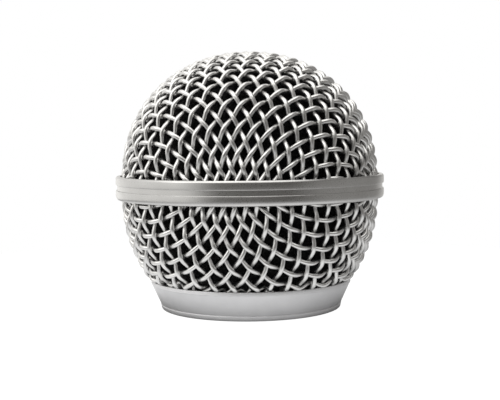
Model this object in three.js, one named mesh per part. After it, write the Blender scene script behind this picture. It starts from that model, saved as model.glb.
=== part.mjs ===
// Ball grille head of a handheld vocal microphone, as a three.js scene graph.
// Millimetres, +Z up. The origin is on the axis, at the collar's bottom face.
//
// Two bowls of woven wire cloth meet rim to rim inside a round band. The lower bowl's
// mouth sits in a threaded collar. Foam lines both bowls from the inside.
// Every piece is a body of revolution, except for the helical thread in the collar.

import * as THREE from 'three';

// Wire cloth. Two wires cross at every knot, so a cloth is two wires thick.
const wireDiameter = 0.8;
const clothThickness = 2 * wireDiameter;

// Outer faces of the two bowls. radius and height are the half axes of a rounded
// outline, centre is its height above the base, and roundness 2 is a true ellipse.
const dome = { radius: 24.39, height: 23.98, centre: 24.74, roundness: 2.09 };
const bowl = { radius: 24.43, height: 26.09, centre: 21.14, roundness: 2 };

// The lower bowl follows its outline down to neckTop, then turns in to the collar.
const neckTop = 6.3;
const neckBottom = { radius: 18.3, z: 5.6 };

// Band around the joint of the two bowls.
const band = {
  radius: 25.5,
  wall: 0.85,
  bottom: 20.95,
  top: 25.37,
  topBevelHeight: 0.5,
  topBevelDepth: 0.22,
  bottomRoundHeight: 0.95,
  bottomRoundDepth: 0.75,
  grooveBottom: 22.78,
  grooveTop: 23.74,
  grooveDepth: 0.28,
  grooveBevel: 0.12,
  ribRadius: 23.9,
  ribHeight: 0.4,
};

// Hoop inside the band. The cloth's rims are held between the two.
const hoop = { wall: 0.8, bottom: 21.3, top: 24.9 };

// Collar: a plain foot, a flared wall and a thin upright lip around the cloth's mouth.
const collar = {
  footRadius: 17.1,
  footTopRadius: 17.3,
  footHeight: 1.0,
  footRound: 0.25,
  lipRadius: 19.12,
  lipBottom: 4.85,
  lipEdge: 0.12,
  top: 5.5,
  pocketRadius: 18.5,
  ledge: 4.2,
};

// The flare is nearly a plain cone: how far it runs straight at its foot and at its lip.
const flareStart = { out: 0.42, up: 1.0 };
const flareEnd = { out: 0.47, up: 1.0 };

// Internal thread that screws onto the microphone's handle.
const thread = {
  majorRadius: 15.3,
  depth: 0.55,
  pitch: 1.0,
  bottom: 0.3,
  top: 4.1,
  runOut: 0.5,
  rowsPerTurn: 4,
  flatShare: 0.1,
  entryRadius: 15.6,
};

// Clamp ring that holds the cloth's mouth out against the collar's lip.
const clampRing = { innerRadius: 15.95, wall: 0.55, height: 2.95 };

// Foam lining.
const foam = { domeThickness: 3.5, sleeveThickness: 3.0 };

// Gap that resting pieces keep, and the looser one between nested round faces.
const seatGap = 0.1;
const clearance = 0.25;

// Smoothness of the round faces.
const around = 56;
const outlineSteps = 9;
const liningSteps = 7;
const cornerSteps = 3;

const steelFinish = { color: 0xb9b7b1, roughness: 0.38, metalness: 0.95 };
const satinFinish = { color: 0xaaa8a4, roughness: 0.42, metalness: 0.9 };
const collarFinish = { color: 0xc4c4c6, roughness: 0.5, metalness: 0.75 };
const platedFinish = { color: 0x8f8f90, roughness: 0.5, metalness: 0.85 };
const foamFinish = { color: 0x141414, roughness: 1.0, metalness: 0.0 };

/** A point of a profile: distance from the axis, and height. */
function at(radius, z) {
  return new THREE.Vector2(radius, z);
}

/** The outline of a bowl, pushed in by inset. side is 1 for a dome and -1 for a bowl. */
function outlineOf(shape, inset, side) {
  const a = shape.radius - inset;
  const b = shape.height - inset;
  const power = 2 / shape.roundness;
  return {
    pointAt(angle) {
      const radius = a * Math.cos(angle) ** power;
      return at(radius, shape.centre + side * b * Math.sin(angle) ** power);
    },
    angleAt(z) {
      const part = Math.abs(z - shape.centre) / b;
      return Math.asin(part ** (1 / power));
    },
  };
}

/** Points along an outline from one angle to another, with both ends. */
function stretch(outline, from, to, steps) {
  const points = [];
  for (let step = 0; step <= steps; step += 1) {
    points.push(outline.pointAt(from + ((to - from) * step) / steps));
  }
  return points;
}

/** A quarter round between two points, bulging towards the corner between them. */
function roundCorner(from, corner, to) {
  return new THREE.QuadraticBezierCurve(from, corner, to).getPoints(cornerSteps);
}

/** Turns a closed profile about the Z axis. The profile runs up its outer side. */
function revolve(profile) {
  const onAxis = profile[0].x === 0;
  const points = onAxis ? profile : [...profile, profile[0]];
  return new THREE.LatheGeometry(points, around).rotateX(Math.PI / 2);
}

/** Dome of wire cloth, closed at the top, with its rim resting on the band's rib. */
function makeUpperMesh() {
  const rim = (band.grooveBottom + band.grooveTop + band.ribHeight) / 2 + seatGap;
  const outer = outlineOf(dome, 0, 1);
  const inner = outlineOf(dome, clothThickness, 1);
  const outerTop = at(0, dome.centre + dome.height);
  const innerTop = at(0, outerTop.y - clothThickness);
  return revolve([
    innerTop,
    ...stretch(inner, Math.PI / 2, 0, liningSteps).slice(1),
    at(dome.radius - clothThickness, rim),
    at(dome.radius, rim),
    ...stretch(outer, 0, Math.PI / 2, outlineSteps).slice(0, -1),
    outerTop,
  ]);
}

/** Bowl of wire cloth, open at both ends, tucked into the collar at the bottom. */
function makeLowerMesh() {
  const rim = (band.grooveBottom + band.grooveTop - band.ribHeight) / 2 - seatGap;
  const mouth = collar.ledge + seatGap;
  const outer = outlineOf(bowl, 0, -1);
  const inner = outlineOf(bowl, clothThickness, -1);
  const mouthInner = neckBottom.radius - clothThickness;
  const outerNeck = outer.angleAt(neckTop);
  const innerNeck = inner.angleAt(neckTop + clothThickness / 2);
  return revolve([
    at(mouthInner, mouth),
    at(neckBottom.radius, mouth),
    at(neckBottom.radius, neckBottom.z),
    ...stretch(outer, outerNeck, 0, outlineSteps),
    at(bowl.radius, rim),
    at(bowl.radius - clothThickness, rim),
    ...stretch(inner, 0, innerNeck, liningSteps),
    at(mouthInner, neckBottom.z + clothThickness / 2),
  ]);
}

/** Band with a shallow groove outside, and a rib inside that parts the two rims. */
function makeBand() {
  const outside = band.radius;
  const inside = band.radius - band.wall;
  const floor = outside - band.grooveDepth;
  const bevel = band.grooveBevel;
  const ribBottom = (band.grooveBottom + band.grooveTop - band.ribHeight) / 2;
  const ribTop = ribBottom + band.ribHeight;
  const lowerEdge = roundCorner(
    at(outside - band.bottomRoundDepth, band.bottom),
    at(outside, band.bottom),
    at(outside, band.bottom + band.bottomRoundHeight),
  );
  return revolve([
    at(inside, band.bottom),
    ...lowerEdge,
    at(outside, band.grooveBottom - bevel),
    at(outside - bevel, band.grooveBottom),
    at(floor, band.grooveBottom),
    at(floor, band.grooveTop),
    at(outside - bevel, band.grooveTop),
    at(outside, band.grooveTop + bevel),
    at(outside, band.top - band.topBevelHeight),
    at(outside - band.topBevelDepth, band.top),
    at(inside, band.top),
    at(inside, ribTop),
    at(band.ribRadius, ribTop),
    at(band.ribRadius, ribBottom),
    at(inside, ribBottom),
  ]);
}

/** Hoop that backs both rims from the inside. */
function makeHoop() {
  const outside = bowl.radius - clothThickness - clearance;
  const inside = outside - hoop.wall;
  return revolve([
    at(inside, hoop.bottom),
    at(outside, hoop.bottom),
    at(outside, hoop.top),
    at(inside, hoop.top),
  ]);
}

/** Radius of the thread's surface at an angle and a height: a right-hand helix. */
function threadRadius(angle, z) {
  const turns = z / thread.pitch - angle / (2 * Math.PI);
  const wave = Math.abs(2 * (turns - Math.floor(turns)) - 1);
  const ridge = THREE.MathUtils.smoothstep(wave, thread.flatShare, 1 - thread.flatShare);
  const fromEnd = Math.min(z - thread.bottom, thread.top - z);
  const fade = THREE.MathUtils.clamp(fromEnd / thread.runOut, 0, 1);
  return thread.majorRadius - thread.depth * ridge * fade;
}

/** Moves the vertices of a bore onto the thread. */
function cutThread(geometry) {
  const position = geometry.attributes.position;
  for (let i = 0; i < position.count; i += 1) {
    const x = position.getX(i);
    const y = position.getY(i);
    const z = position.getZ(i);
    const inBore = Math.hypot(x, y) < (thread.majorRadius + thread.entryRadius) / 2;
    if (inBore && z > thread.bottom && z < thread.top) {
      const angle = Math.atan2(y, x);
      const radius = threadRadius(angle, z);
      position.setXY(i, radius * Math.cos(angle), radius * Math.sin(angle));
    }
  }
  return geometry;
}

/** Collar with foot, flare, lip, a pocket for the cloth's mouth, and the thread. */
function makeCollar() {
  const foot = roundCorner(
    at(collar.footRadius - collar.footRound, 0),
    at(collar.footRadius, 0),
    at(collar.footRadius, collar.footRound),
  );
  const flare = new THREE.CubicBezierCurve(
    at(collar.footTopRadius, collar.footHeight),
    at(collar.footTopRadius + flareStart.out, collar.footHeight + flareStart.up),
    at(collar.lipRadius - flareEnd.out, collar.lipBottom - flareEnd.up),
    at(collar.lipRadius, collar.lipBottom),
  ).getPoints(outlineSteps);
  const rows = Math.round(((thread.top - thread.bottom) / thread.pitch) * thread.rowsPerTurn);
  const bore = [];
  for (let row = 0; row <= rows; row += 1) {
    const z = thread.top - ((thread.top - thread.bottom) * row) / rows;
    bore.push(at(thread.majorRadius, z));
  }
  const blank = revolve([
    at(thread.entryRadius, 0),
    ...foot,
    ...flare,
    at(collar.lipRadius, collar.top - collar.lipEdge),
    at(collar.lipRadius - collar.lipEdge, collar.top),
    at(collar.pocketRadius, collar.top),
    at(collar.pocketRadius, collar.ledge),
    at(thread.majorRadius, collar.ledge),
    ...bore,
  ]);
  return cutThread(blank);
}

/** Ring on the collar's ledge, just inside the cloth's mouth. */
function makeClampRing() {
  const bottom = collar.ledge + seatGap;
  const outside = clampRing.innerRadius + clampRing.wall;
  return revolve([
    at(clampRing.innerRadius, bottom),
    at(outside, bottom),
    at(outside, bottom + clampRing.height),
    at(clampRing.innerRadius, bottom + clampRing.height),
  ]);
}

/** Foam cap that lines the dome and stands on the hoop. */
function makeFoamDome() {
  const bottom = hoop.top + seatGap;
  const skin = clothThickness + clearance;
  const outer = outlineOf(dome, skin, 1);
  const inner = outlineOf(dome, skin + foam.domeThickness, 1);
  const outerTop = at(0, dome.centre + dome.height - skin);
  const innerTop = at(0, outerTop.y - foam.domeThickness);
  return revolve([
    innerTop,
    ...stretch(inner, Math.PI / 2, inner.angleAt(bottom), liningSteps).slice(1),
    ...stretch(outer, outer.angleAt(bottom), Math.PI / 2, liningSteps).slice(0, -1),
    outerTop,
  ]);
}

/** Foam sleeve that lines the lower bowl, between the hoop and the clamp ring. */
function makeFoamSleeve() {
  const top = hoop.bottom - seatGap;
  const bottom = collar.ledge + clampRing.height + 2 * seatGap;
  const skin = clothThickness + clearance;
  const outer = outlineOf(bowl, skin, -1);
  const inner = outlineOf(bowl, skin + foam.sleeveThickness, -1);
  return revolve([
    ...stretch(outer, outer.angleAt(bottom), outer.angleAt(top), liningSteps),
    ...stretch(inner, inner.angleAt(top), inner.angleAt(bottom), liningSteps),
  ]);
}

/** One named sub-part with its own material. */
function subPart(name, geometry, finish) {
  const mesh = new THREE.Mesh(geometry, new THREE.MeshStandardMaterial(finish));
  mesh.name = name;
  return mesh;
}

const grilleHead = new THREE.Group();
grilleHead.name = 'grille_head';
grilleHead.add(subPart('upper_mesh', makeUpperMesh(), steelFinish));
grilleHead.add(subPart('lower_mesh', makeLowerMesh(), steelFinish));
grilleHead.add(subPart('band', makeBand(), satinFinish));
grilleHead.add(subPart('rim_hoop', makeHoop(), platedFinish));
grilleHead.add(subPart('collar', makeCollar(), collarFinish));
grilleHead.add(subPart('clamp_ring', makeClampRing(), platedFinish));
grilleHead.add(subPart('foam_dome', makeFoamDome(), foamFinish));
grilleHead.add(subPart('foam_sleeve', makeFoamSleeve(), foamFinish));

export default grilleHead;
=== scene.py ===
"""Ball grille head of a vocal microphone: woven wire cloth, band, collar and foam.

Shapes are worked out in millimetres and turned into metres when a mesh is made.
"""

import math
from collections import namedtuple

import bpy
import numpy as np
from mathutils import Matrix, Vector


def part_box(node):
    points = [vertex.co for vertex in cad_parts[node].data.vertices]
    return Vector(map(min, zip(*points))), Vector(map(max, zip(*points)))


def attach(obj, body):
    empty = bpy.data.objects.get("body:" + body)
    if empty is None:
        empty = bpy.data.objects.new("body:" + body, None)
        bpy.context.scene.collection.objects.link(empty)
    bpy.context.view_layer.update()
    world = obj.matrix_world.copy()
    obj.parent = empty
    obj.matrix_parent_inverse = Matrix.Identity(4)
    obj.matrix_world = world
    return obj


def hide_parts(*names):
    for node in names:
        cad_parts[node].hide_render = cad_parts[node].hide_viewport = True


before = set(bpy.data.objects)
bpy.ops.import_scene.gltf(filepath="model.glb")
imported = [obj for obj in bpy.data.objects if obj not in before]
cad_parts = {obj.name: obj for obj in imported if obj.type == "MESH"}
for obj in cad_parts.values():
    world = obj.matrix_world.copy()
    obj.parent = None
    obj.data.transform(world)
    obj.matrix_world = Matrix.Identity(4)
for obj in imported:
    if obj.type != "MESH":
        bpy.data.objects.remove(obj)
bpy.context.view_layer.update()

MM = 0.001


def box_mm(node):
    """Outer radius, lowest and highest point of a CAD node, in millimetres."""
    low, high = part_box(node)
    return high.x / MM, low.z / MM, high.z / MM


DOME_RADIUS, DOME_RIM, DOME_TOP = box_mm("upper_mesh")
BOWL_RADIUS, BOWL_MOUTH, BOWL_RIM = box_mm("lower_mesh")
BAND_RADIUS, BAND_BOTTOM, BAND_TOP = box_mm("band")
COLLAR_RADIUS, COLLAR_BOTTOM, COLLAR_TOP = box_mm("collar")

# Wire cloth. Wires touch where they cross, so each swings half its thickness either way.
WIRE = 0.84
CRIMP = WIRE / 2
WIRE_SIDES = 10
WIRE_STEP = 0.3
WIRE_SMOOTH = math.radians(50)
SHORTEST_RUN = 3

# Outlines of the two cloths: how far inside the band each is widest, and how round it is.
DOME_SUNK = 0.63
DOME_EQUATOR = BAND_TOP - DOME_SUNK
DOME_ROUNDNESS = 2.09
BOWL_SUNK = 0.19
BOWL_EQUATOR = BAND_BOTTOM + BOWL_SUNK
BOWL_HEIGHT = 26.09
BOWL_ROUNDNESS = 2.0
MERIDIAN_STEPS = 4000
CLIMB_STEP = 0.002

# Neck of the lower cloth: it leaves the bowl's outline at NECK_START and drops into the
# collar. The two reaches say how far it keeps its direction at its top and its foot. Its
# middle line ends MOUTH_GAP above the CAD cloth's mouth.
NECK_START = 6.45
NECK_RADIUS = 17.5
NECK_TOP_REACH = 0.7
NECK_FOOT_REACH = 2.4
NECK_STEPS = 40
MOUTH_GAP = WIRE / 4

# The net that stands for a cloth, and how its knots are solved for. NEARLY_ZERO keeps the
# equations of a knot solvable, and AT_POLE keeps the pole's radius off zero.
NET_STEP = 0.5
SOLVER_ROUNDS = 12
SOLVER_STRIDE = 0.5 * NET_STEP
SURFACE_TOLERANCE = 1e-5
STEP_TOLERANCE = 1e-4
NEARLY_ZERO = 1e-9
AT_POLE = 1e-12

# The dies that the cloths were pressed on, as radius, height and roundness, and the z of
# their widest ring. A weave is the pitch of each set of wires, the place of each set's
# first wire, how far each set leans from square, the bow of each set, and the turn of the
# whole about the axis. A bow is three lengths: the shift at BOW_AT from the pole along the
# first set, midway between both, and along the second set.
Weave = namedtuple("Weave", "pitch first lean bow turn")
BOW_AT = 20
NO_BOW = (0, 0, 0)
DOME_DIE = (25.2, 29.88, 2.09)
DOME_DIE_CENTRE = 18.10
DOME_WEAVE = Weave(
    pitch=(2.555, 2.504),
    first=(0.955, 1.38),
    lean=(0.004, -0.013),
    bow=(NO_BOW, NO_BOW),
    turn=math.radians(38.6),
)
BOWL_DIE = (25.14, 19.01, 2.0)
BOWL_DIE_CENTRE = 19.04
BOWL_WEAVE = Weave(
    pitch=(2.661, 2.738),
    first=(2.059, -0.528),
    lean=(-0.0295, -0.015),
    bow=((-0.37, 0.21, -0.39), (-0.16, 0.38, -0.18)),
    turn=math.radians(36.2),
)

# Camera, as distance from the axis and height above the floor.
CAMERA_DISTANCE = 194.87
CAMERA_HEIGHT = 33.91
CAMERA_TILT = 0.0692
CAMERA_ROLL = -0.0112
CAMERA_LENS = 73.24
SENSOR_WIDTH = 36
NEAREST_SEEN = 0.01
FARTHEST_SEEN = 10

# Rings: sides around, the angle up to which faces are smooth, and steps in a rounded edge.
RING_SIDES = 240
HIDDEN_SIDES = 120
RING_SMOOTH = math.radians(25)
EDGE_SOFTNESS = 0.1
EDGE_STEPS = 3
FINE_EDGE_STEPS = 4
FOOT_STEPS = 5
HEEL_STEPS = 8

# Band. Its bottom edge is round: the heel. Its top edge is two rounded corners, each with
# its start, corner and end measured inwards from the band's face and down from its top.
BAND_WALL = 0.85
HEEL_DEPTH = 0.75
HEEL_HEIGHT = 0.95
BEVEL = (
    ((0, 0.4), (0, 0.28), (0.1, 0.15)),
    ((0.22, 0.02), (0.3, 0), (0.4, 0)),
)
GROOVE_BOTTOM = 22.78
GROOVE_TOP = 23.74
GROOVE_DEPTH = 0.28
GROOVE_ROUND = 0.17
GROOVE_SLOPE = 0.03
RIB_RADIUS = 23.9
RIB_SLOPE = 0.28

# Collar. The cone between its foot and its lip is set back from both.
FOOT_RADIUS = 17.24
FOOT_TOP_RADIUS = 17.34
FOOT_ROUND = 0.5
CONE_BOTTOM = 0.96
CONE_SETBACK = 0.06
LIP_BOTTOM = 4.85
LIP_LEAN = 0.04
POCKET_RADIUS = 18.5
LEDGE = 4.2
THREAD_RADIUS = 15.3
THREAD_DEPTH = 0.55
THREAD_PITCH = 1.0
THREAD_BOTTOM = 0.3
THREAD_TOP = 4.1
THREAD_FLAT = 0.1
THREAD_RUN_OUT = 0.5
THREAD_ROWS = 12

# Hidden rings and foam. A swell of the foam is its waves around the axis, radians per
# millimetre upwards and phase. Swells die away within SWELL_START of the axis.
HOOP_WALL = 0.8
CLAMP_WALL = 0.55
DOME_FOAM = 3.5
SLEEVE_FOAM = 3.0
FOAM_SIDES = 160
DOME_FOAM_STEPS = 40
SLEEVE_FOAM_STEPS = 30
FOAM_PINHOLE = 0.02
FOAM_SWELLS = ((37, 2.1, 0), (53, -3.3, 1), (19, 5.1, 2))
SWELL_HEIGHT = 0.04
SWELL_START = 5

# Materials. Noise mostly stays between the first two values. The metals' tone varies on a
# scale BROADER than their grain. Grain, pores and marks are in waves per metre and relief
# depths are in metres.
NOISE_LOW, NOISE_HIGH = 0.3, 0.7
BROADER = 30
METAL_RELIEF = 0.00002
FOAM_RELIEF = 0.0002
FOAM_PORES = 2200
HANDLING_MARKS = 900
SHEET_GRAIN = 400

# Studio: a white sheet that glows, so bright that it meets the backdrop unseen. The metal
# mirrors it with three shadows painted into its glow, which the camera doesn't see: the
# close one all round the foot, the one cast away from the key light, and the dimming far
# from the head. Each has a centre, the distances from it where its middle ends and where
# it ends, both in metres, and the share of light in its middle. The last one has its
# distances swapped, so it is dark outside and not inside.
FLOOR_RADIUS = 110
FLOOR_SIDES = 96
FLOOR_GLOW = 1.0
SHEET_GLOW = 0.9
SHADOWS = (
    ((-0.0005, 0.0025, 0), 0.0175, 0.025, 0.04),
    ((0.026, 0.016, 0), 0.016, 0.05, 0.5),
    ((0, 0, 0), 0.085, 0.034, 0.3),
)

# Round soft lights of the room. Degrees to the left of the camera and degrees up, the angles
# from the light's middle to its even part's edge and to its outer edge, and brightness.
ROOM_LIGHTS = (
    ("key", 60, 45, 21, 34, 1.3),
    ("left_wall", 100, 0, 35, 75, 0.92),
    ("ceiling", 180, 57, 15, 44, 1.1),
    ("overhead", -20, 70, 18, 36, 1.35),
    ("front_fill", 5, 48, 12, 50, 0.36),
    ("backdrop", 180, -10, 12, 48, 0.8),
    ("right_wall", -95, -5, 30, 62, 0.22),
)
ROOM_GLOW = (0.078, 0.073, 0.067)
LAMP_COLOUR = (1, 0.99, 0.965)


# ---------------------------------------------------------------- camera

def make_camera():
    """Camera in front of the head, a little above it, looking slightly down."""
    data = bpy.data.cameras.new("camera")
    data.lens = CAMERA_LENS
    data.sensor_width = SENSOR_WIDTH
    data.clip_start = NEAREST_SEEN
    data.clip_end = FARTHEST_SEEN
    camera = bpy.data.objects.new("camera", data)
    bpy.context.scene.collection.objects.link(camera)
    level = Matrix.Rotation(math.pi / 2 - CAMERA_TILT, 4, "X")
    roll = Matrix.Rotation(CAMERA_ROLL, 4, "Z")
    place = Matrix.Translation(Vector((0, -CAMERA_DISTANCE, CAMERA_HEIGHT)) * MM)
    camera.matrix_world = place @ level @ roll
    bpy.context.scene.camera = camera


# ---------------------------------------------------------------- meshes

def make_object(name, points, faces, material, smooth_angle=None):
    """Object from points in millimetres. Faces are smooth, up to smooth_angle if given."""
    mesh = bpy.data.meshes.new(name)
    mesh.from_pydata((np.asarray(points) * MM).tolist(), [], faces)
    mesh.validate()
    mesh.shade_smooth()
    if smooth_angle is not None:
        mesh.set_sharp_from_angle(angle=smooth_angle)
    mesh.materials.append(material)
    piece = bpy.data.objects.new(name, mesh)
    bpy.context.scene.collection.objects.link(piece)
    return piece


def on_root(piece, slot, *nodes):
    """The piece rides on the one body and stands for these nodes. slot is not used."""
    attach(piece, "root")
    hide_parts(*nodes)
    return piece


def revolve(name, profile, material, around=RING_SIDES, warp=None):
    """Closed profile of (radius, z) points turned about the axis, outer side upwards."""
    loop = np.array(profile, float)
    count = len(loop)
    angle = np.arange(around) * 2 * math.pi / around
    radius = np.tile(loop[:, 0], (around, 1))
    height = np.tile(loop[:, 1], (around, 1))
    if warp is not None:
        radius, height = warp(angle[:, None], radius, height)
    x = radius * np.cos(angle[:, None])
    y = radius * np.sin(angle[:, None])
    points = np.stack([x, y, height], -1).reshape(-1, 3)
    faces = []
    for column in range(around):
        after = (column + 1) % around
        for row in range(count):
            above = (row + 1) % count
            corners = ((column, row), (after, row), (after, above), (column, above))
            faces.append(tuple(count * side + step for side, step in corners))
    return make_object(name, points, faces, material, RING_SMOOTH)


def rounded(start, corner, end, steps=EDGE_STEPS):
    """Points of a rounded corner, from start to end."""
    t = np.linspace(0, 1, steps + 1)[:, None]
    start, corner, end = (np.array(p, float) for p in (start, corner, end))
    return ((1 - t) ** 2 * start + 2 * t * (1 - t) * corner + t**2 * end).tolist()


def round_off(corner, before, after, steps=EDGE_STEPS):
    """Points of a rounded corner. before and after lead from the corner to its two ends."""
    corner = np.array(corner, float)
    return rounded(corner + before, corner, corner + after, steps)


def bezier(a, b, c, d, steps):
    """Points of a cubic curve, with both ends."""
    t = np.linspace(0, 1, steps + 1)[:, None]
    a, b, c, d = (np.array(p, float) for p in (a, b, c, d))
    return (1 - t) ** 3 * a + 3 * t * (1 - t) ** 2 * b + 3 * t**2 * (1 - t) * c + t**3 * d


# ---------------------------------------------------------------- woven cloth

class Bowl:
    """A cloth's middle surface: rounded from its pole to its equator, then straight.

    Heights are measured from the equator towards the pole. A meridian is a list of
    (radius, height) points by their distance from the pole.
    """

    def __init__(self, radius, height, roundness):
        self.radius = radius
        self.height = height
        self.roundness = roundness
        angle = np.linspace(math.pi / 2, 0, MERIDIAN_STEPS + 1)
        r = radius * np.cos(angle) ** (2 / roundness)
        z = height * np.sin(angle) ** (2 / roundness)
        r[0] = 0
        self.meridian = np.vstack([np.stack([r, z], -1), [(radius, -2 * height)]])
        self.distance = path_length(self.meridian)

    def slope(self, point):
        """How far points are from the surface, and the gradient of that."""
        n = self.roundness
        r = np.hypot(point[:, 0], point[:, 1]) + AT_POLE
        z = np.maximum(point[:, 2], 0)
        value = (r / self.radius) ** n + (z / self.height) ** n - 1
        outward = n * (r / self.radius) ** (n - 1) / self.radius
        upward = n * (z / self.height) ** (n - 1) / self.height
        gradient = np.stack([outward * point[:, 0] / r, outward * point[:, 1] / r, upward], -1)
        return value, gradient

    def at_distance(self, s):
        """(radius, height) at these distances from the pole."""
        r = np.interp(s, self.distance, self.meridian[:, 0])
        z = np.interp(s, self.distance, self.meridian[:, 1])
        return r, z


def path_length(path):
    """Distance along a path, at each of its points."""
    steps = np.linalg.norm(np.diff(path, axis=0), axis=1)
    return np.concatenate([[0], np.cumsum(steps)])


def drape_net(bowl, reach):
    """Square net laid over a bowl from its pole, for one quarter of it.

    A woven cloth hardly stretches along its wires, but it shears. So every cell keeps
    its side and only its angles change: each new knot lies one step from its two
    neighbours, and on the surface.
    """
    count = int(reach / NET_STEP)
    net = np.full((count + 1, count + 1, 3), np.nan)
    r, z = bowl.at_distance(np.arange(count + 1) * NET_STEP)
    zero = np.zeros_like(r)
    net[:, 0] = np.stack([r, zero, z], -1)
    net[0, :] = np.stack([zero, r, z], -1)
    for total in range(2, 2 * count + 1):
        i = np.arange(max(1, total - count), min(count, total - 1) + 1)
        j = total - i
        net[i, j] = next_knots(bowl, net[i - 1, j], net[i, j - 1], net[i - 1, j - 1])
    return net


def next_knots(bowl, left, right, behind):
    """The knots one step on from left and from right, by Newton's method."""
    knot = left + right - behind
    known = np.isfinite(knot).all(1)
    knot[~known] = 0
    for _ in range(SOLVER_ROUNDS):
        value, gradient = bowl.slope(knot)
        from_left = knot - left
        from_right = knot - right
        jacobian = np.stack([gradient, 2 * from_left, 2 * from_right], 1)
        left_error = (from_left**2).sum(1) - NET_STEP**2
        right_error = (from_right**2).sum(1) - NET_STEP**2
        residual = np.stack([value, left_error, right_error], 1)
        jacobian[~known] = np.eye(3)
        residual[~known] = 0
        step = np.linalg.solve(jacobian + NEARLY_ZERO * np.eye(3), residual[..., None])[..., 0]
        length = np.linalg.norm(step, axis=1, keepdims=True)
        knot = knot - step * np.minimum(1, SOLVER_STRIDE / np.maximum(length, NEARLY_ZERO))
    value, _ = bowl.slope(knot)
    off_step = np.abs(np.linalg.norm(knot - left, axis=1) - NET_STEP)
    lost = ~known | (np.abs(value) > SURFACE_TOLERANCE) | (off_step > STEP_TOLERANCE)
    knot[lost] = np.nan
    return knot


def on_net(net, u, v):
    """Points of the net at distances u and v along its two wire directions."""
    last = len(net) - 1
    i = np.clip((np.abs(u) / NET_STEP).astype(int), 0, last - 1)
    j = np.clip((np.abs(v) / NET_STEP).astype(int), 0, last - 1)
    a = (np.abs(u) / NET_STEP - i)[:, None]
    b = (np.abs(v) / NET_STEP - j)[:, None]
    point = (
        net[i, j] * (1 - a) * (1 - b)
        + net[i + 1, j] * a * (1 - b)
        + net[i, j + 1] * (1 - a) * b
        + net[i + 1, j + 1] * a * b
    )
    point[:, 0] *= np.where(u < 0, -1, 1)
    point[:, 1] *= np.where(v < 0, -1, 1)
    return point


class Cloth:
    """Woven cloth. Its wires lie as a net does over a bowl, its die. Seen from the die's
    centre, they are then moved to path, the cloth's middle line as (radius, z) points.
    side is 1 where the die's pole is on top, and -1 where it is at the bottom.
    """

    def __init__(self, die, centre, path, side, weave):
        self.die = die
        self.side = side
        self.weave = weave
        climb = np.arctan2((path[:, 1] - centre) * side, path[:, 0])
        order = np.argsort(climb)
        self.climb = climb[order]
        self.path = path[order]
        overhang = die.radius * math.tan(max(0, -self.climb[0]))
        self.reach = die.distance[-2] + overhang + NET_STEP
        self.net = drape_net(die, self.reach + 2 * NET_STEP)

    def middle(self, climb):
        """(radius, z) of the middle line, and its outward direction."""
        run = self.follow(climb + CLIMB_STEP) - self.follow(climb - CLIMB_STEP)
        run /= np.linalg.norm(run, axis=1, keepdims=True)
        return self.follow(climb), np.stack([run[:, 1], -run[:, 0]], -1) * self.side

    def follow(self, climb):
        """(radius, z) of the middle line at these angles above the die's widest ring."""
        climb = np.clip(climb, self.climb[0], self.climb[-1])
        return np.stack([np.interp(climb, self.climb, column) for column in self.path.T], -1)

    def wires(self, family):
        """Centreline and outward directions of every run of one set of wires."""
        weave = self.weave
        pitch, first = weave.pitch[family], weave.first[family]
        t = np.arange(-self.reach, self.reach, WIRE_STEP)
        knots = (t - weave.first[1 - family]) / weave.pitch[1 - family]
        lowest = math.ceil((-self.reach - first) / pitch)
        highest = math.floor((self.reach - first) / pitch)
        for number in range(lowest, highest + 1):
            across = np.full_like(t, first + number * pitch)
            point = self.on_die(across, t) if family == 0 else self.on_die(t, across)
            climb = np.arctan2(point[:, 2], np.hypot(point[:, 0], point[:, 1]))
            turn = np.arctan2(point[:, 1], point[:, 0]) + weave.turn
            flat = np.stack([np.cos(turn), np.sin(turn)], -1)
            held = np.isfinite(climb) & (climb > self.climb[0]) & (climb < self.climb[-1])
            middle, out = self.middle(np.where(held, climb, self.climb[0]))
            rise = CRIMP * np.cos(math.pi * (knots + number + family))
            centre = middle + rise[:, None] * out
            yield from runs(in_space(centre, flat), in_space(out, flat), held)

    def on_die(self, u, v):
        """Points of the leaning and bowed weave on the die."""
        lean, bow = self.weave.lean, self.weave.bow
        warp_shift = lean[0] * v + bowed(bow[0], u, v)
        weft_shift = lean[1] * (u + warp_shift) + bowed(bow[1], u, v)
        return on_net(self.net, u + warp_shift, v + weft_shift)


def bowed(bow, u, v):
    """Shift of a bowed wire at distances u and v along the two wire directions."""
    u, v = u / BOW_AT, v / BOW_AT
    return bow[0] * u * u + bow[1] * u * v + bow[2] * v * v


def in_space(section, flat):
    """Points or directions in a section through the axis, turned to where they lie."""
    return np.column_stack([section[:, :1] * flat, section[:, 1]])


def runs(centre, outward, keep):
    """Stretches of a wire where keep holds, without the shortest ones."""
    edges = np.flatnonzero(np.diff(np.concatenate([[0], keep.astype(int), [0]])))
    for start, end in edges.reshape(-1, 2):
        if end - start >= SHORTEST_RUN:
            yield centre[start:end], outward[start:end]


def tube(centre, outward, radius, sides):
    """Round tube with flat ends along a centreline: points and faces."""
    tangent = np.gradient(centre, axis=0)
    tangent /= np.linalg.norm(tangent, axis=1, keepdims=True)
    up = outward - (outward * tangent).sum(1, keepdims=True) * tangent
    up /= np.linalg.norm(up, axis=1, keepdims=True)
    across = np.cross(tangent, up)
    angle = (np.arange(sides) * 2 * math.pi / sides)[None, :, None]
    ring = up[:, None] * np.cos(angle) + across[:, None] * np.sin(angle)
    points = (centre[:, None] + radius * ring).reshape(-1, 3)
    faces = []
    for k in range(len(centre) - 1):
        for side in range(sides):
            after = (side + 1) % sides
            low, high = k * sides, (k + 1) * sides
            faces.append((low + side, low + after, high + after, high + side))
    last = (len(centre) - 1) * sides
    faces.append(tuple(range(sides - 1, -1, -1)))
    faces.append(tuple(range(last, last + sides)))
    return points, faces


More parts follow.
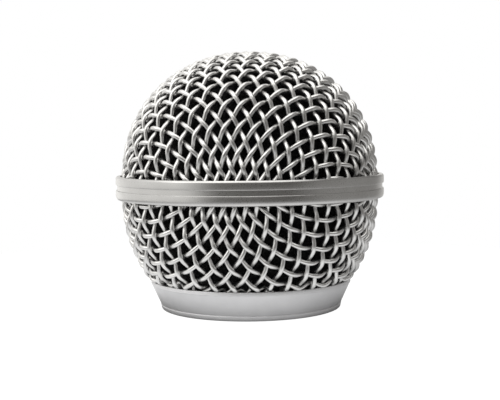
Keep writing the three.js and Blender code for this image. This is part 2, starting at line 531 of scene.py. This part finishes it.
def make_wires(name, cloth, family, material):
    """One set of a cloth's wires, as one piece."""
    points, faces, base = [], [], 0
    for centre, outward in cloth.wires(family):
        tube_points, tube_faces = tube(centre, outward, WIRE / 2, WIRE_SIDES)
        points.append(tube_points)
        faces += [tuple(base + corner for corner in face) for face in tube_faces]
        base += len(tube_points)
    return make_object(name, np.vstack(points), faces, material, WIRE_SMOOTH)


def make_cloth(name, cloth, material, node):
    """Both sets of wires of a cloth, as two pieces that stand for its plain CAD shell."""
    for family, set_name in enumerate(("warp", "weft")):
        wires = make_wires(f"{name}_{set_name}_wires", cloth, family, material)
        on_root(wires, "wire_cloth", node)


def dome_cloth():
    """Cloth of the dome, from its pole down to its rim inside the band."""
    wall = Bowl(DOME_RADIUS - WIRE, DOME_TOP - WIRE - DOME_EQUATOR, DOME_ROUNDNESS)
    path = wall.meridian + (0, DOME_EQUATOR)
    path[-1, 1] = DOME_RIM
    return Cloth(Bowl(*DOME_DIE), DOME_DIE_CENTRE, path, 1, DOME_WEAVE)


def bowl_cloth():
    """Cloth of the lower bowl: its mouth is tucked into the collar."""
    wall = Bowl(BOWL_RADIUS - WIRE, BOWL_HEIGHT - WIRE, BOWL_ROUNDNESS)
    path = wall.meridian * (1, -1) + (0, BOWL_EQUATOR)
    path[-1, 1] = BOWL_RIM
    path = path[path[:, 1] > NECK_START]
    lean = path[0] - path[1]
    lean /= np.linalg.norm(lean)
    mouth = np.array([NECK_RADIUS, BOWL_MOUTH + MOUTH_GAP])
    leaving = path[0] + NECK_TOP_REACH * lean
    arriving = mouth + (0, NECK_FOOT_REACH)
    neck = bezier(path[0], leaving, arriving, mouth, NECK_STEPS)
    path = np.vstack([neck[:0:-1], path])
    return Cloth(Bowl(*BOWL_DIE), BOWL_DIE_CENTRE, path, -1, BOWL_WEAVE)


# ---------------------------------------------------------------- rings

def make_band(material):
    """Grooved band with a bevelled top edge and a round bottom edge."""
    edge = BAND_RADIUS
    inside = edge - BAND_WALL
    floor = edge - GROOVE_DEPTH
    profile = [(inside, BAND_BOTTOM)]
    profile += round_off((edge, BAND_BOTTOM), (-HEEL_DEPTH, 0), (0, HEEL_HEIGHT), HEEL_STEPS)
    profile += round_off((edge, GROOVE_BOTTOM), (0, -GROOVE_ROUND), (-GROOVE_ROUND, 0))
    profile += [(floor, GROOVE_BOTTOM + GROOVE_SLOPE), (floor, GROOVE_TOP - GROOVE_SLOPE)]
    profile += round_off((edge, GROOVE_TOP), (-GROOVE_ROUND, 0), (0, GROOVE_ROUND))
    for corner in BEVEL:
        profile += rounded(*((edge - inwards, BAND_TOP - down) for inwards, down in corner))
    profile += [(inside, BAND_TOP), (inside, GROOVE_TOP)]
    profile += [(RIB_RADIUS, GROOVE_TOP - RIB_SLOPE), (RIB_RADIUS, GROOVE_BOTTOM + RIB_SLOPE)]
    profile += [(inside, GROOVE_BOTTOM)]
    return revolve("band_ring", profile, material)


def thread_warp(angle, radius, height):
    """Cuts a right-hand thread into the collar's bore."""
    turns = height / THREAD_PITCH - angle / (2 * math.pi)
    wave = np.abs(2 * (turns - np.floor(turns)) - 1)
    ridge = np.clip((wave - THREAD_FLAT) / (1 - 2 * THREAD_FLAT), 0, 1)
    ridge = ridge * ridge * (3 - 2 * ridge)
    from_end = np.minimum(height - THREAD_BOTTOM, THREAD_TOP - height)
    fade = np.clip(from_end / THREAD_RUN_OUT, 0, 1)
    threaded = THREAD_RADIUS - THREAD_DEPTH * ridge * fade
    return np.where(np.isclose(radius, THREAD_RADIUS), threaded, radius), height


def make_collar(material):
    """Collar: foot, cone, upright lip, pocket for the cloth's mouth and threaded bore."""
    lip, lip_top = COLLAR_RADIUS, COLLAR_RADIUS - LIP_LEAN
    bottom, top = COLLAR_BOTTOM, COLLAR_TOP
    soft, back = EDGE_SOFTNESS, CONE_SETBACK
    profile = round_off((THREAD_RADIUS + THREAD_BOTTOM, bottom), (-soft, soft), (soft, 0))
    profile += round_off((FOOT_RADIUS, bottom), (-FOOT_ROUND, 0), (0, FOOT_ROUND), FOOT_STEPS)
    profile += round_off((FOOT_TOP_RADIUS, CONE_BOTTOM), (0, -soft), (-back, 0), FINE_EDGE_STEPS)
    profile += round_off((lip - back, LIP_BOTTOM), (-soft, -2 * soft), (back / 2, 0))
    profile += round_off((lip, LIP_BOTTOM), (-back / 2, 0), (0, soft / 2))
    profile += round_off((lip_top, top), (0, -soft), (-soft, 0), FINE_EDGE_STEPS)
    profile += round_off((POCKET_RADIUS, top), (soft, 0), (0, -soft))
    profile += [(POCKET_RADIUS, LEDGE), (THREAD_RADIUS + soft, LEDGE)]
    turns = (THREAD_TOP - THREAD_BOTTOM) / THREAD_PITCH
    rows = np.linspace(THREAD_TOP, THREAD_BOTTOM, 1 + round(turns * THREAD_ROWS))
    profile += [(THREAD_RADIUS, z) for z in rows]
    return revolve("collar_ring", profile, material, warp=thread_warp)


def make_plain_ring(name, node, wall, material):
    """Square-cut ring with softened edges, as large as its CAD node."""
    outside, bottom, top = box_mm(node)
    inside, soft = outside - wall, EDGE_SOFTNESS
    profile = round_off((inside, bottom), (0, soft), (soft, 0))
    profile += round_off((outside, bottom), (-soft, 0), (0, soft))
    profile += round_off((outside, top), (0, -soft), (-soft, 0))
    profile += round_off((inside, top), (soft, 0), (0, -soft))
    return revolve(name, profile, material, around=HIDDEN_SIDES)


# ---------------------------------------------------------------- foam

def meridian_arc(radius, height, roundness, start, end, steps):
    """(radius, height) points of a rounded outline between two heights from its equator."""
    first = math.asin((start / height) ** (roundness / 2))
    last = math.asin((end / height) ** (roundness / 2))
    angle = np.linspace(first, last, steps + 1)
    r = radius * np.cos(angle) ** (2 / roundness)
    r[np.isclose(angle, math.pi / 2)] = FOAM_PINHOLE
    return np.stack([r, height * np.sin(angle) ** (2 / roundness)], -1)


def porous(angle, radius, height):
    """Small swells of soft foam, from a few sine waves that close round the axis."""
    waves = [np.sin(around * angle + up * height + phase) for around, up, phase in FOAM_SWELLS]
    dent = SWELL_HEIGHT * (sum(waves) + len(waves))
    return radius - dent * np.clip(radius / SWELL_START, 0, 1), height


def make_foam_dome(material):
    """Foam cap inside the dome, standing on the hoop."""
    radius, bottom, top = box_mm("foam_dome")
    start, height = bottom - DOME_EQUATOR, top - DOME_EQUATOR
    hollow = height - DOME_FOAM
    outer = meridian_arc(radius, height, DOME_ROUNDNESS, start, height, DOME_FOAM_STEPS)
    inner = meridian_arc(radius - DOME_FOAM, hollow, DOME_ROUNDNESS, start, hollow, DOME_FOAM_STEPS)
    profile = np.vstack([outer, inner[::-1]]) + (0, DOME_EQUATOR)
    piece = revolve("foam_dome_liner", profile, material, around=FOAM_SIDES, warp=porous)
    return piece


def make_foam_sleeve(material):
    """Foam sleeve inside the lower bowl, standing on the clamp ring."""
    radius, bottom, top = box_mm("foam_sleeve")
    start, end = max(BOWL_EQUATOR - top, 0), BOWL_EQUATOR - bottom
    height = BOWL_HEIGHT - (BOWL_RADIUS - radius)
    hollow = height - SLEEVE_FOAM
    outer = meridian_arc(radius, height, BOWL_ROUNDNESS, start, end, SLEEVE_FOAM_STEPS)
    inner = meridian_arc(radius - SLEEVE_FOAM, hollow, BOWL_ROUNDNESS, start, end, SLEEVE_FOAM_STEPS)
    profile = np.vstack([outer[::-1], inner]) * (1, -1) + (0, BOWL_EQUATOR)
    piece = revolve("foam_sleeve_liner", profile, material, around=FOAM_SIDES, warp=porous)
    return piece


# ---------------------------------------------------------------- materials

def new_material(name):
    """Material with a Principled shader: the material, its nodes, links and shader."""
    material = bpy.data.materials.new(name)
    material.use_nodes = True
    nodes, links = material.node_tree.nodes, material.node_tree.links
    return material, nodes, links, nodes["Principled BSDF"]


def noise(nodes, links, scale, detail, rough=0.5):
    """Noise in the object's own space. scale is in waves per metre."""
    place = nodes.new("ShaderNodeTexCoord")
    texture = nodes.new("ShaderNodeTexNoise")
    texture.inputs["Scale"].default_value = scale
    texture.inputs["Detail"].default_value = detail
    texture.inputs["Roughness"].default_value = rough
    links.new(place.outputs["Object"], texture.inputs["Vector"])
    return texture.outputs["Fac"]


def blend_of(nodes, links, factor, low, high):
    """Colour between low and high by a factor."""
    ramp = nodes.new("ShaderNodeValToRGB")
    ramp.color_ramp.elements[0].position = NOISE_LOW
    ramp.color_ramp.elements[1].position = NOISE_HIGH
    ramp.color_ramp.elements[0].color = (*low, 1)
    ramp.color_ramp.elements[1].color = (*high, 1)
    links.new(factor, ramp.inputs["Fac"])
    return ramp.outputs["Color"]


def range_of(nodes, links, factor, low, high):
    """Number between low and high by a factor."""
    spread = nodes.new("ShaderNodeMapRange")
    spread.inputs["From Min"].default_value = NOISE_LOW
    spread.inputs["From Max"].default_value = NOISE_HIGH
    spread.inputs["To Min"].default_value = low
    spread.inputs["To Max"].default_value = high
    links.new(factor, spread.inputs["Value"])
    return spread.outputs["Result"]


def bump(nodes, links, shader, height, distance, strength):
    """Fine relief on the shader's normal."""
    relief = nodes.new("ShaderNodeBump")
    relief.inputs["Distance"].default_value = distance
    relief.inputs["Strength"].default_value = strength
    links.new(height, relief.inputs["Height"])
    links.new(relief.outputs["Normal"], shader.inputs["Normal"])


def satin_metal(name, low, high, roughness, grain, relief, metallic=1.0):
    """Satin metal with a fine grain, in colour, roughness and relief."""
    material, nodes, links, shader = new_material(name)
    fine = noise(nodes, links, grain, detail=3, rough=0.6)
    broad = noise(nodes, links, grain / BROADER, detail=2)
    shader.inputs["Metallic"].default_value = metallic
    links.new(blend_of(nodes, links, broad, low, high), shader.inputs["Base Color"])
    links.new(range_of(nodes, links, fine, *roughness), shader.inputs["Roughness"])
    bump(nodes, links, shader, fine, METAL_RELIEF, relief)
    return material


def grey(level):
    """Neutral colour of this level."""
    return level, level, level


def foam_material():
    """Open-cell black foam: pores as small dark cells."""
    material, nodes, links, shader = new_material("black_foam")
    place = nodes.new("ShaderNodeTexCoord")
    cells = nodes.new("ShaderNodeTexVoronoi")
    cells.inputs["Scale"].default_value = FOAM_PORES
    links.new(place.outputs["Object"], cells.inputs["Vector"])
    depth = cells.outputs["Distance"]
    colour = blend_of(nodes, links, depth, grey(0.002), grey(0.012))
    links.new(colour, shader.inputs["Base Color"])
    shader.inputs["Roughness"].default_value = 0.95
    shader.inputs["Specular IOR Level"].default_value = 0.1
    bump(nodes, links, shader, depth, FOAM_RELIEF, strength=0.6)
    return material


def black_part(name, roughness, metallic):
    """Blackened hidden part with faint handling marks. roughness is its range."""
    material, nodes, links, shader = new_material(name)
    marks = noise(nodes, links, HANDLING_MARKS, detail=4)
    colour = blend_of(nodes, links, marks, grey(0.006), grey(0.02))
    links.new(colour, shader.inputs["Base Color"])
    links.new(range_of(nodes, links, marks, *roughness), shader.inputs["Roughness"])
    shader.inputs["Metallic"].default_value = metallic
    return material


# ---------------------------------------------------------------- studio

def shaded(nodes, links, glow, centre, start, end, share):
    """Glow of the sheet inside and outside one painted round shadow. glow is None for a bare sheet.
    """
    place = nodes.new("ShaderNodeTexCoord")
    away = nodes.new("ShaderNodeVectorMath")
    away.operation = "DISTANCE"
    away.inputs[1].default_value = centre
    links.new(place.outputs["Object"], away.inputs[0])
    light = nodes.new("ShaderNodeMapRange")
    light.interpolation_type = "SMOOTHSTEP"
    light.inputs["From Min"].default_value = start
    light.inputs["From Max"].default_value = end
    light.inputs["To Min"].default_value = share
    links.new(away.outputs["Value"], light.inputs["Value"])
    product = nodes.new("ShaderNodeMath")
    product.operation = "MULTIPLY"
    product.inputs[0].default_value = SHEET_GLOW
    if glow is not None:
        links.new(glow, product.inputs[0])
    links.new(light.outputs["Result"], product.inputs[1])
    return product.outputs["Value"]


def make_floor():
    """Round white sheet under the head, so bright that it meets the backdrop unseen. The glow that
    the metal mirrors has painted shadows.
    """
    material, nodes, links, shader = new_material("white_sheet")
    grain = noise(nodes, links, SHEET_GRAIN, detail=2)
    links.new(blend_of(nodes, links, grain, grey(0.1), grey(0.12)), shader.inputs["Base Color"])
    shader.inputs["Roughness"].default_value = 0.9
    shader.inputs["Emission Color"].default_value = (1, 1, 1, 1)
    # Painted shadows: the glow that the metal mirrors is dimmed round the foot, away from the key
    # light and far from the head. The camera sees the even glow.
    painted_shadow_glow = None
    for shadow in SHADOWS:
        painted_shadow_glow = shaded(nodes, links, painted_shadow_glow, *shadow)
    rays = nodes.new("ShaderNodeLightPath")
    glow = nodes.new("ShaderNodeMix")
    glow.inputs["B"].default_value = FLOOR_GLOW
    links.new(rays.outputs["Is Camera Ray"], glow.inputs["Factor"])
    links.new(painted_shadow_glow, glow.inputs["A"])
    links.new(glow.outputs["Result"], shader.inputs["Emission Strength"])
    angle = np.arange(FLOOR_SIDES) * 2 * math.pi / FLOOR_SIDES
    points = FLOOR_RADIUS * np.stack([np.cos(angle), np.sin(angle), 0 * angle], -1)
    floor = make_object("floor", points, [tuple(range(FLOOR_SIDES))], material)


def direction(left, up):
    """Unit vector for degrees to the left of the camera and degrees up."""
    left, up = math.radians(left), math.radians(up)
    return -math.sin(left) * math.cos(up), -math.cos(left) * math.cos(up), math.sin(up)


def room_light(nodes, links, towards, left, up, inner, outer, brightness):
    """Brightness of one round soft light in the direction looked towards."""
    near = nodes.new("ShaderNodeVectorMath")
    near.operation = "DOT_PRODUCT"
    near.inputs[1].default_value = direction(left, up)
    links.new(towards, near.inputs[0])
    edge = nodes.new("ShaderNodeMapRange")
    edge.interpolation_type = "SMOOTHSTEP"
    edge.inputs["From Min"].default_value = math.cos(math.radians(outer))
    edge.inputs["From Max"].default_value = math.cos(math.radians(inner))
    edge.inputs["To Max"].default_value = brightness
    links.new(near.outputs["Value"], edge.inputs["Value"])
    return edge.outputs["Result"]


def make_world():
    """White behind the head for the camera. The metal mirrors a dim room and its soft lights."""
    world = bpy.data.worlds.new("studio")
    bpy.context.scene.world = world
    world.use_nodes = True
    nodes, links = world.node_tree.nodes, world.node_tree.links
    towards = nodes.new("ShaderNodeTexCoord").outputs["Generated"]
    room = nodes["Background"]
    room.inputs["Color"].default_value = (*ROOM_GLOW, 1)
    for name, *light in ROOM_LIGHTS:
        lamp = nodes.new("ShaderNodeBackground")
        lamp.label = name
        lamp.inputs["Color"].default_value = (*LAMP_COLOUR, 1)
        links.new(room_light(nodes, links, towards, *light), lamp.inputs["Strength"])
        both = nodes.new("ShaderNodeAddShader")
        links.new(room.outputs[0], both.inputs[0])
        links.new(lamp.outputs[0], both.inputs[1])
        room = both
    backdrop = nodes.new("ShaderNodeBackground")
    backdrop.inputs["Color"].default_value = (1, 1, 1, 1)
    rays = nodes.new("ShaderNodeLightPath")
    either = nodes.new("ShaderNodeMixShader")
    links.new(rays.outputs["Is Camera Ray"], either.inputs["Fac"])
    links.new(room.outputs[0], either.inputs[1])
    links.new(backdrop.outputs["Background"], either.inputs[2])
    links.new(either.outputs["Shader"], nodes["World Output"].inputs["Surface"])


def make_studio():
    """White sheet under the head, and the room around it."""
    make_floor()
    make_world()
    bpy.context.scene.view_settings.view_transform = "Standard"


# ---------------------------------------------------------------- the head

make_camera()
wire_metal = satin_metal(
    "nickel_wire",
    low=(0.69, 0.687, 0.68),
    high=(0.77, 0.767, 0.76),
    roughness=(0.26, 0.36),
    grain=9000,
    relief=0.2,
)
band_metal = satin_metal(
    "band_satin",
    low=(0.56, 0.557, 0.55),
    high=(0.62, 0.617, 0.61),
    roughness=(0.26, 0.34),
    grain=6500,
    relief=0.4,
)
collar_metal = satin_metal(
    "collar_satin",
    low=(0.68, 0.68, 0.69),
    high=(0.72, 0.72, 0.73),
    roughness=(0.4, 0.48),
    grain=12000,
    relief=0.3,
    metallic=0.9,
)
foam_black = foam_material()
black_steel = black_part("black_steel", roughness=(0.45, 0.6), metallic=0.9)
black_plastic = black_part("black_plastic", roughness=(0.55, 0.7), metallic=0.0)

make_cloth("upper_mesh", dome_cloth(), wire_metal, "upper_mesh")
make_cloth("lower_mesh", bowl_cloth(), wire_metal, "lower_mesh")
on_root(make_band(band_metal), "band_metal", "band")
on_root(make_collar(collar_metal), "collar_metal", "collar")
hoop = make_plain_ring("hoop_ring", "rim_hoop", HOOP_WALL, black_steel)
on_root(hoop, "hidden_steel", "rim_hoop")
clamp = make_plain_ring("cloth_clamp_ring", "clamp_ring", CLAMP_WALL, black_plastic)
on_root(clamp, "hidden_plastic", "clamp_ring")
on_root(make_foam_dome(foam_black), "foam", "foam_dome")
on_root(make_foam_sleeve(foam_black), "foam", "foam_sleeve")
make_studio()
